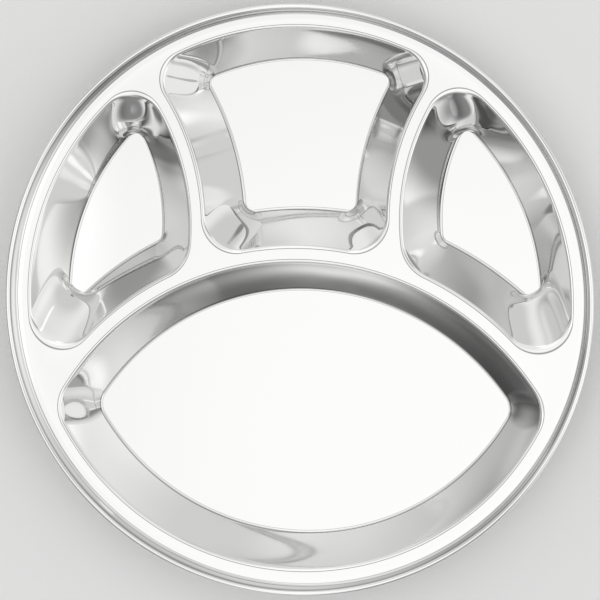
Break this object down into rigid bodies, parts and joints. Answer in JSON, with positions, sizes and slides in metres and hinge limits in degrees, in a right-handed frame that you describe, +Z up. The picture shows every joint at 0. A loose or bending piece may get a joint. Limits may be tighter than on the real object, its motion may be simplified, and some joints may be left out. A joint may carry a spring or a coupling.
{
  "type": "thali plate",
  "caption": "Round stainless steel thali plate with sloping wells for separate dishes, flat land between them and a raised rim with a rolled edge.",
  "frame": {"origin": "centre of the plate, on the surface that it stands on", "axes": "+Z up out of the wells, +Y towards the centre well, +X to the right as the plate is used"},
  "size_m": [0.32, 0.32, 0.0306],
  "materials": {
    "polished_steel": "mirror polished stainless steel, bright, with faint drawing marks"
  },
  "bodies": {
    "root": {"land": "polished_steel", "rolled_rim": "polished_steel", "centre_well": "polished_steel", "left_well": "polished_steel", "right_well": "polished_steel", "main_well": "polished_steel"}
  },
  "joints": []
}
